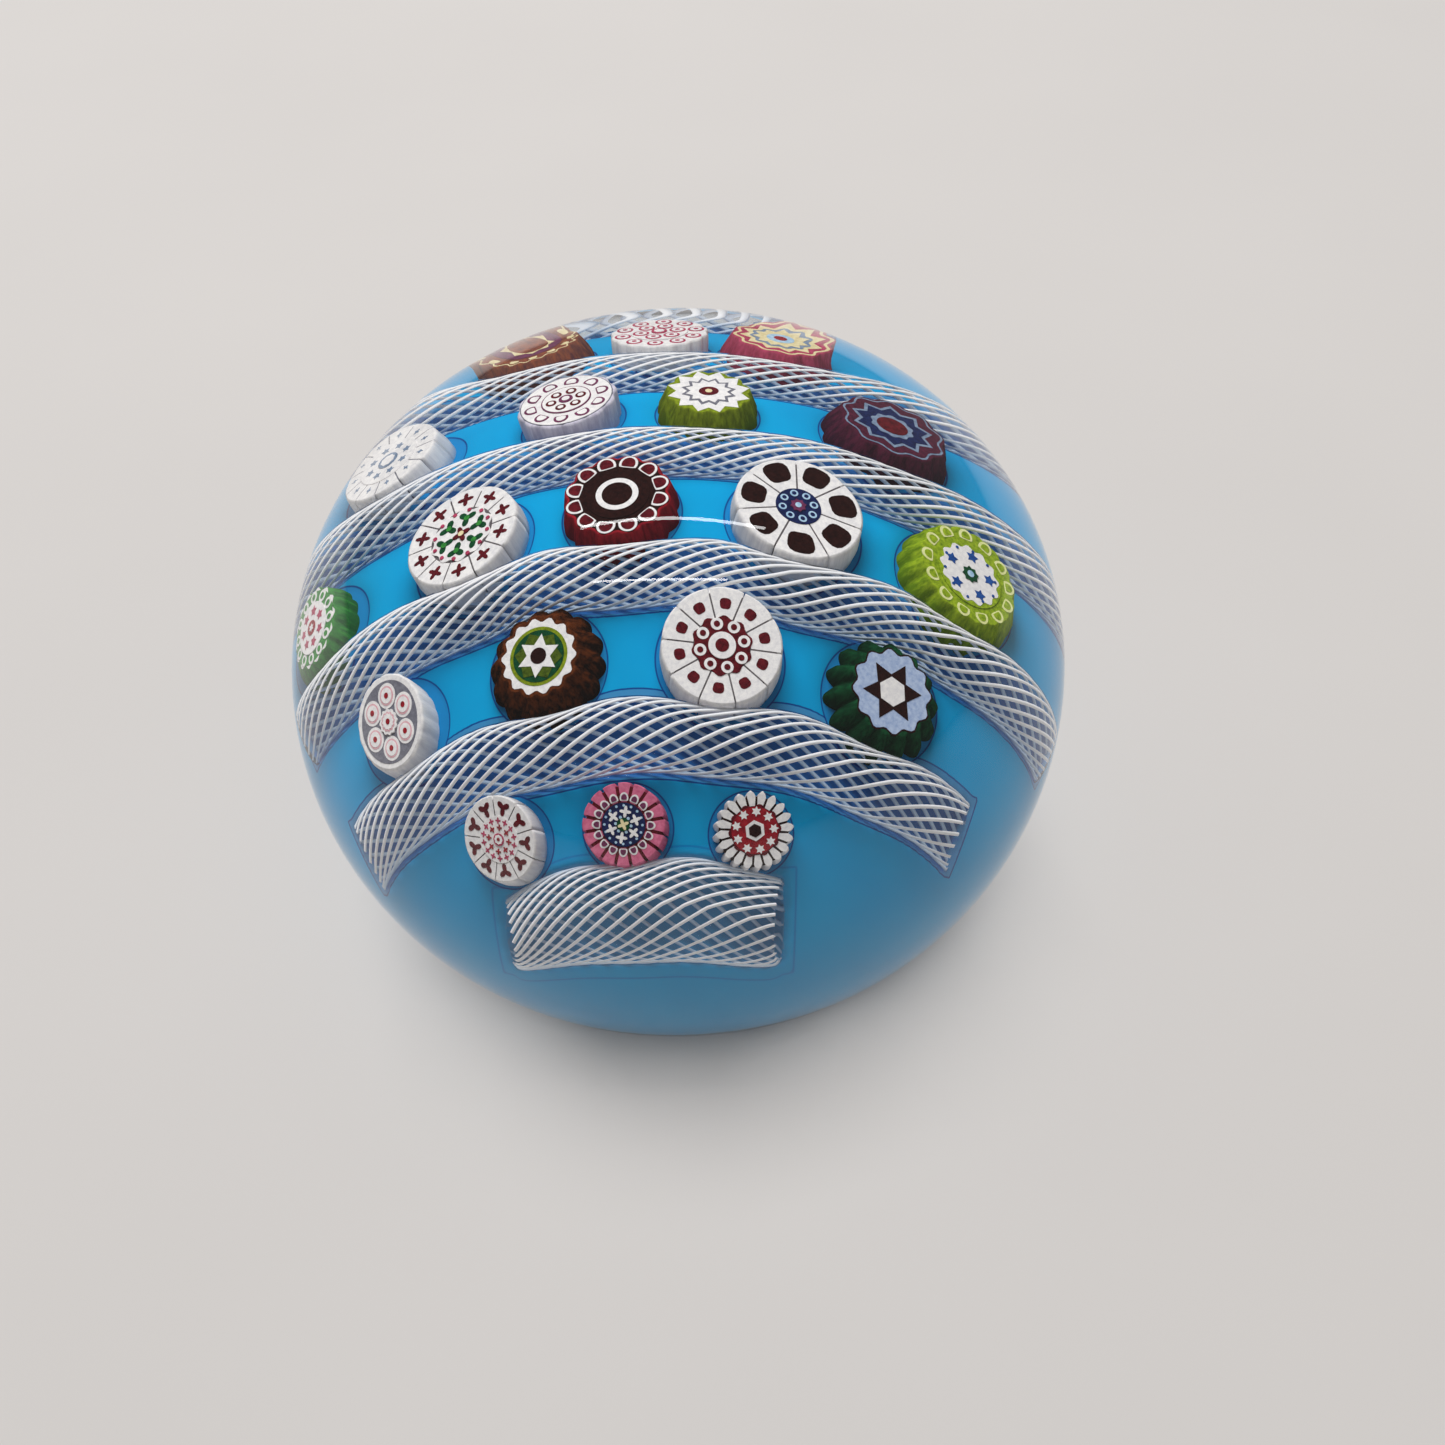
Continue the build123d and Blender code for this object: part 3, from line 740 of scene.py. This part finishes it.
def cushionRings():
    form = cushionForm
    turn, base, shoulder = form["crownAngle"], form["base"], form["shoulder"]
    crownLength = cushionCrown * np.radians(turn)
    sideLength = cushionSide * np.radians(90 - turn)
    total = crownLength + sideLength + shoulder - base
    crownRows, sideRows = (int(form["rows"] * length / total) for length in (crownLength, sideLength))
    crown = arcPoints(cushionCrown, crownMiddle, turn / crownRows, turn, crownRows)
    side = arcPoints(cushionSide, sideMiddle, turn, 90, sideRows)[1:]
    down = np.linspace(shoulder, base, bedForm["wallRows"] + 1)[1:]
    wall = np.stack([np.full(len(down), form["radius"]), down], -1)
    return spun(np.concatenate([crown, side, wall]), form["around"])


def pressedGround():
    form = bedForm
    rings = cushionRings()
    points = rings.reshape(-1, 3)
    normal = groundNormal(points)
    keys = sorted({band[0] for band in groundBands})
    fields = {key: np.full(len(points), form["farAway"]) for key in keys}
    press = np.zeros(len(points))
    for rod in rods.values():
        line = rod["line"]
        # the step of the middle line beside each point: first by its place along X, then moved along
        # the line by what is still left between them
        steps = np.arange(len(line))
        index = np.rint(np.interp(points[:, 0], line[:, 0], steps)).astype(int)
        for _ in range(form["passes"]):
            ahead = ((points - line[index]) * rod["along"][index]).sum(-1)
            index = np.rint(np.interp(rod["length"][index] + ahead, rod["length"], steps)).astype(int)
        offset = points - line[index]
        past = np.abs((offset * rod["along"][index]).sum(-1))
        past = np.where((index == 0) | (index == len(line) - 1), past, 0)
        across = (offset * rod["back"][index]).sum(-1)
        width = np.where(across > 0, rod["wide"][1][index], rod["wide"][-1][index])
        sideways = np.abs(across) - width
        beyond = np.where(past > 0, past, form["beside"])
        near = np.abs((offset * rod["out"][index]).sum(-1)) < form["rodReach"] * rod["radius"]
        behind, before, ends = rod["skin"]
        # distances to the rod's edge and to its clear skin's edge, which the painted shade bands follow
        edge = boxEdge(sideways, beyond)
        skin = boxEdge(sideways - np.where(across > 0, behind, before), beyond - ends)
        for key, values in zip(rod["fields"], (edge, skin)):
            fields[key] = np.where(near, np.minimum(fields[key], values), fields[key])
        # depth of the bed: a circle of the rod's radius, squeezed to its width, less the lift
        share = np.clip(across / (width + form["sideGap"]), -1, 1)
        fade = np.clip(1 - past / form["endFade"], 0, 1)
        deep = (rod["radius"] + form["gap"]) * np.sqrt(1 - share**2) * fade - rodForm["lift"]
        press = np.maximum(press, np.where(near, deep, 0))
    # distance to each cane's side, which the painted shade round it follows
    caneEdge = fields["caneEdge"]
    for cane in canes.values():
        offset = points - cane["middle"]
        height = (offset * cane["axes"][2]).sum(-1)
        flat = np.linalg.norm(offset - height[:, None] * cane["axes"][2], axis=-1) - cane["radius"]
        caneEdge = np.where(np.abs(height) < form["caneReach"], np.minimum(caneEdge, flat), caneEdge)
    fields["caneEdge"] = caneEdge
    # a shallow dip round each cane, where the soft ground was drawn down with it
    dip = form["dipDepth"] * np.exp(-np.clip(caneEdge, 0, None) / form["dipWidth"])
    points = points - normal * (press + np.where(press > 0, 0, dip))[:, None]
    top, bottom = (0, 0, cushionForm["height"]), (0, 0, cushionForm["base"])
    surface = shell(points.reshape(rings.shape), top, bottom)
    # the closing point on top takes its nearest ring's values, and nothing lies near the one below
    far = form["farAway"]
    fields = {key: np.concatenate([values[:1], values, [far]]) for key, values in fields.items()}
    finish = blueGround("blue_enamel_ground")
    makePiece("blue_ground", [surface], [finish], ["ground_cushion"], fields)


# filigree rods: threads wound just under a clear skin

threadForm = {
    "depth": 0.3,  # middle of a thread under the rod's skin
    "halfWidth": 0.16,
    "halfThickness": 0.11,
    "corners": 6,
    "trim": 3,  # steps that a thread stops short of the rod's ends
    "skinCorners": 48,
    "endBulge": 0.35,  # how far the middle of a rod's end stands out
}


def buildRods():
    form = threadForm
    trim = form["trim"]
    corner = 2 * np.pi * np.arange(form["corners"]) / form["corners"]
    around = 2 * np.pi * np.arange(form["skinCorners"]) / form["skinCorners"]
    for number, rod in rods.items():
        name, count = f"filigree_rod_{number}", rod["threads"]
        shells, under = [], []
        for k in range(count):
            # a helix: the turn falls as the length grows, so the upper threads climb to the right
            turn = 2 * np.pi * (k / count - rod["length"] / rod["turn"])
            path = rodSection(rod, turn, form["depth"])
            heading = unit(np.gradient(path, axis=0))
            outward = unit(np.cos(turn)[:, None] * rod["back"] + np.sin(turn)[:, None] * rod["out"])
            outward = unit(outward - (outward * heading).sum(-1, keepdims=True) * heading)
            across = np.cross(heading, outward)
            oval = (form["halfWidth"] * np.cos(corner)[None, :, None] * across[:, None]
                    + form["halfThickness"] * np.sin(corner)[None, :, None] * outward[:, None])
            rings = path[:, None] + oval
            shells.append(shell(rings[trim:-trim], path[trim], path[-trim - 1]))
            low = np.clip(0.5 - np.sin(turn), 0, 1)[trim:-trim]  # 1 where the thread runs under the rod: its share of painted shade
            under.append(np.concatenate([low[:1], np.repeat(low, form["corners"]), low[-1:]]))
        makePiece(name + "_threads_glass", shells, [threadWhite], [name + "_threads"],
                  {"under": np.concatenate(under)})
        turns = np.broadcast_to(around, (len(rod["line"]), len(around)))
        skin = rodSection(rod, turns)
        start = rod["line"][0] - form["endBulge"] * rod["along"][0]
        end = rod["line"][-1] + form["endBulge"] * rod["along"][-1]
        body = makePiece(name + "_clear_glass", [shell(skin, start, end)], [rodSkin], [name + "_core"])
        passLight(body)


# cane slices

motifForm = {
    "roundCorners": (40, 16),  # of a round that stands alone, and of one among several
    "toothCorners": (6, 2),  # for each tooth of a cog, likewise
    "leafCorners": 24,  # of a cross or a trefoil
    "panelCorners": 20,  # of a window or a lobe
    "waves": {"cog": 0.06, "cross": 0.32, "trefoil": 0.34},  # half the rim's fall between its peaks
    "waists": {"star": 0.55, "burst": 0.77},  # how far out a pointed motif's inner corners lie
    "windowCut": 0.5,  # how far in a window's straight side lies
    "lobe": (0.86, 0.14, 0.06),  # a lobe's middle size, how much wider its rim is, how square it is
}


def motifOutline(motif, length, width, count):
    # closed outline of one motif about its own middle, x pointing out from the slice's middle
    form = motifForm
    among = int(count > 1)
    kind = motif.rstrip("0123456789")
    points = int(motif[len(kind):] or 0)

    def polar(corners, radius):
        turn = 2 * np.pi * (np.arange(corners) + 0.5) / corners
        r = radius(turn)
        return np.stack([length * r * np.cos(turn), width * r * np.sin(turn)], -1)

    def waved(corners, peaks, shift=0.0):
        depth = form["waves"][kind]
        return polar(corners, lambda t: 1 - depth + depth * np.cos(peaks * t + shift))

    if kind == "round":
        return polar(form["roundCorners"][among], lambda t: 1 + 0 * t)
    if kind == "hex":
        return polar(6, lambda t: 1 + 0 * t)
    if kind == "cog":
        return waved(points * form["toothCorners"][among], points)
    if kind == "cross":
        return waved(form["leafCorners"], 4)
    if kind == "trefoil":
        return waved(form["leafCorners"], 3, np.pi)
    if kind in form["waists"]:  # sharp points: corners in turn at 1 and at the waist
        turn = np.pi * np.arange(2 * points) / points
        r = np.where(np.arange(2 * points) % 2, form["waists"][kind], 1.0)
        return np.stack([length * r * np.cos(turn), width * r * np.sin(turn)], -1)
    if kind == "window":  # a circle cut straight on its inner side
        cut = form["windowCut"]
        return polar(form["panelCorners"], lambda t: np.minimum(1, cut / np.maximum(-np.cos(t), 1e-6)))
    if kind == "lobe":  # a rounded wedge, wider towards the rim
        middle, wider, square = form["lobe"]
        return polar(form["panelCorners"],
                     lambda t: middle + wider * np.cos(t) + square * np.cos(4 * t + np.pi))
    raise ValueError(motif)


def petalOutline(inner, outer, count, gap, tip):
    # one wedge between two circles, its sides drawn in by the gap to leave a line between petals,
    # its rim falling by the tip's share from the middle to the corners
    share = np.linspace(-1, 1, caneForm["petalCorners"])
    half = np.pi / count
    rim = share * (half - np.arcsin(gap / outer))
    core = share[::-1] * (half - np.arcsin(min(gap / inner, 0.9)))
    bulge = outer * (1 - tip * np.abs(share) ** 1.5)
    return np.concatenate([
        np.stack([bulge * np.cos(rim), bulge * np.sin(rim)], -1),
        np.stack([inner * np.cos(core), inner * np.sin(core)], -1)])


def buildCane(name):
    pattern, cane, form = canePatterns[name], canes[name], caneForm
    drumFinish, lobes, depth = pattern["drum"]
    radius, axes = cane["radius"], cane["axes"]
    height = form["proud"] + form["sink"]
    bottom, top = -height / 2, height / 2 - form["faceRoom"]
    stretch = np.array([*pattern.get("stretch", (1.0, 1.0)), 1.0])
    gap = pattern.get("gap", form["lineGap"]) * radius
    layers = [(part, *layer) for part in ("casing", "heart") for layer in pattern[part]]
    names = sorted({drumFinish} | {layer[3] for layer in layers})
    parts = {"casing": [], "heart": []}

    # drum: lobes round its side, drawn in towards the underside and eased at the rim
    turn = 2 * np.pi * np.arange(lobes * form["lobeCorners"]) / (lobes * form["lobeCorners"])
    lobe = 1 - depth * (1 - np.abs(np.cos(lobes * (turn - form["firstTurn"]) / 2)))
    share, width = np.array(form["drumRise"]), np.array(form["drumWidth"])
    if "shoulder" in pattern:  # the drum slopes out from a smaller face, so that its ribs show from above
        start, end = form["slope"]
        slope = np.clip((share - start) / (end - start), 0, 1)
        width = (1 - (1 - pattern["shoulder"]) * slope) * np.array(form["slopedWidth"])
    if any(layer[1] in ("petal", "spike") for layer in layers):  # the lines between petals show this drum
        width = width - form["petalDrum"]
    rise = bottom + share * (top - bottom)
    flutes = radius * width[:, None] * lobe
    local = np.stack([flutes * np.cos(turn), flutes * np.sin(turn), rise[:, None] + 0 * turn], -1)
    parts["casing"].append((local, (0, 0, bottom), (0, 0, top), drumFinish, True))

    for order, (part, motif, size, finish, *rest) in enumerate(layers):
        count, distance, spin = (*rest, *(1, 0, 0)[len(rest):])
        length, wide = radius * np.broadcast_to(size, 2)
        level = top + form["layerStep"] * (order + 1)
        wedge = motif in ("petal", "spike")
        if wedge:
            outline = petalOutline(length, wide, count, gap, form[motif + "Tip"])
            out = (length + wide) / 2
        else:
            outline = motifOutline(motif, length, wide, count) + [distance * radius, 0]
            out = distance * radius
        for k in range(count):
            angle = 2 * np.pi * k / count + np.radians(spin) + form["firstTurn"]
            c, s = np.cos(angle), np.sin(angle)
            rotate = np.array([[c, s], [-s, c]])
            flat, middle = outline @ rotate, np.array([out, 0.0]) @ rotate
            if wedge:  # a petal runs the whole height, its rim eased over at the face
                under = bottom
                far = np.hypot(flat[:, 0], flat[:, 1])
                heights = [under, 0.0, *(level - drop for drop, _ in form["petalRim"])]
                limits = [*form["petalFoot"], *(limit for _, limit in form["petalRim"])]
                rings = np.stack([
                    np.column_stack([flat * np.minimum(1, limit * radius / far)[:, None], 0 * far + z])
                    for z, limit in zip(heights, limits)])
            else:  # so does the heart's first layer, while the others only lie on the face
                core = (part, motif, size, finish) == ("heart", *pattern["heart"][0])
                under = bottom if core else top - form["layerSink"]
                rings = np.stack([np.column_stack([flat, np.full(len(flat), z)]) for z in (under, level)])
            parts[part].append((rings, (*middle, under), (*middle, level), finish, wedge))

    for part, pieces in parts.items():
        shells, drawn, below = [], [], []
        for rings, start, end, finish, smooth in pieces:
            index = names.index(finish)
            made = shell(rings, start, end, index, smooth, True)
            drawn.append(made["points"] * [1, 1, form["grainStretch"]] + form["grainShift"] * index)
            # share of painted shade: 0 at the face, 1 at the underside
            below.append((top - made["points"][:, 2]) / height)
            made["points"] = cane["middle"] + (made["points"] * stretch) @ axes
            shells.append(made)
        node = f"{name}_cane_{part}"
        attributes = {"drawn": np.concatenate(drawn), "below": np.concatenate(below)}
        materials = [finishes[colour] for colour in names]
        makePiece(node + "_glass", shells, materials, [node], attributes)


buildGlass()
print("glass built")
pressedGround()
print("ground built")
buildRods()
print("rods built")
for caneName in canePatterns:
    buildCane(caneName)
print("canes built")


# table, light and camera, all in metres

stageValues = {
    "table": ("#d8d4d1", "#d2cecb"),
    "tableHalf": 3.0,
    "tableMottle": 14.0,
    "tableRoughness": 0.6,
    "world": "#e9e7e5",
    "worldStrength": 0.25,
}
# each lamp's size, power in watts, place, and the point it aims at
lampValues = {
    "ceiling_panel": ((0.9, 0.9), 14.0, (-0.15, 0.45, 1.1), (0, 0, 0.02)),
    "strip_lamp_back": ((0.62, 0.014), 0.3, (-0.02, 0.29, 0.98), (-0.02, 0, 0.05)),
    "strip_lamp_front": ((0.5, 0.014), 0.3, (-0.05, -0.03, 1.0), (-0.05, 0, 0.05)),
}
cameraValues = {
    "place": (0.01247, -0.13439, 0.14652),
    "turn": (44.807, 1.733, 1.757),  # degrees
    "lensLength": 43.56,  # millimetres
    "nearest": 0.005,
}


def buildTable():
    # matt painted table: pale warm grey, a very fine mottle
    material, tree = newMaterial("matt_painted_table")
    mottle = objectNoise(tree, stageValues["tableMottle"], 3.0)
    colour = mixColours(tree, mottle, *stageValues["table"])
    addSurface(tree, {"Base Color": colour, "Roughness": stageValues["tableRoughness"]})
    mesh = bpy.data.meshes.new("table_top")
    half = stageValues["tableHalf"]
    corners = [(-half, -half, 0), (half, -half, 0), (half, half, 0), (-half, half, 0)]
    mesh.from_pydata(corners, [], [(0, 1, 2, 3)])
    mesh.materials.append(material)
    table = bpy.data.objects.new("table_top", mesh)
    scene.collection.objects.link(table)


def buildLamps():
    world = bpy.data.worlds.new("studio")
    world.use_nodes = True
    background = world.node_tree.nodes["Background"]
    background.inputs["Color"].default_value = linear(stageValues["world"])
    background.inputs["Strength"].default_value = stageValues["worldStrength"]
    scene.world = world
    for name, (size, power, place, aim) in lampValues.items():
        lamp = bpy.data.lights.new(name, "AREA")
        lamp.shape = "RECTANGLE"
        lamp.size, lamp.size_y = size
        lamp.energy = power
        lampObject = bpy.data.objects.new(name, lamp)
        scene.collection.objects.link(lampObject)
        lampObject.location = place
        heading = Vector(np.subtract(aim, place))
        lampObject.rotation_euler = heading.to_track_quat("-Z", "Y").to_euler()
        # only the slim strips overhead are reflected, as a thin highlight each across the crown
        lampObject.visible_glossy = name != "ceiling_panel"


def buildCamera():
    camera = bpy.data.objects.new("camera", bpy.data.cameras.new("camera"))
    scene.collection.objects.link(camera)
    camera.location = cameraValues["place"]
    camera.rotation_euler = np.radians(cameraValues["turn"])
    camera.data.lens = cameraValues["lensLength"]
    camera.data.clip_start = cameraValues["nearest"]
    scene.camera = camera
    scene.view_settings.view_transform = "Standard"


buildTable()
buildLamps()
buildCamera()
print("stage built")
